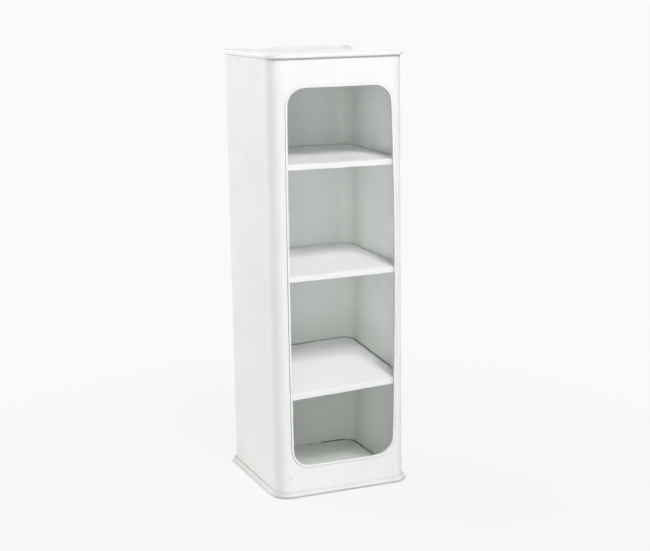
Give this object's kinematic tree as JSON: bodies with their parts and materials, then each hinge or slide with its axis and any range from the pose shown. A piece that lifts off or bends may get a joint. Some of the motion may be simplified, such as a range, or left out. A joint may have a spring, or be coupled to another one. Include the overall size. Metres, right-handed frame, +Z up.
{
  "type": "shelf unit",
  "caption": "Free-standing square column shelf unit of painted sheet steel with rounded corners, rolled rims, an open front with an edging bead, and loose shelf boards.",
  "frame": {"origin": "on the ground under the middle of the column", "axes": "+Z up, the open front faces -Y, +X is to its right"},
  "size_m": [0.331, 0.331, 1],
  "materials": {
    "white_steel": "white paint, satin, on sheet steel",
    "white_board": "white paint, satin, on board",
    "white_edging": "white push-on trim"
  },
  "bodies": {
    "carcass": {"body_wrap": "white_steel", "top_lid": "white_steel", "bottom_pan": "white_steel", "opening_edging": "white_edging", "upper_cleat_left_front": "white_steel", "upper_cleat_left_back": "white_steel", "upper_cleat_right_front": "white_steel", "upper_cleat_right_back": "white_steel", "middle_cleat_left_front": "white_steel", "middle_cleat_left_back": "white_steel", "middle_cleat_right_front": "white_steel", "middle_cleat_right_back": "white_steel", "lower_cleat_left_front": "white_steel", "lower_cleat_left_back": "white_steel", "lower_cleat_right_front": "white_steel", "lower_cleat_right_back": "white_steel"},
    "upper_board": {"upper_shelf": "white_board"},
    "middle_board": {"middle_shelf": "white_board"},
    "lower_board": {"lower_shelf": "white_board"}
  },
  "joints": [
    {"name": "upper_shelf_lift", "type": "slide", "parent": "carcass", "child": "upper_board", "axis": [0, 0, 1], "range_m": [0, 0.226]},
    {"name": "middle_shelf_lift", "type": "slide", "parent": "carcass", "child": "middle_board", "axis": [0, 0, 1], "range_m": [0, 0.2195]},
    {"name": "lower_shelf_lift", "type": "slide", "parent": "carcass", "child": "lower_board", "axis": [0, 0, 1], "range_m": [0, 0.2165]}
  ]
}
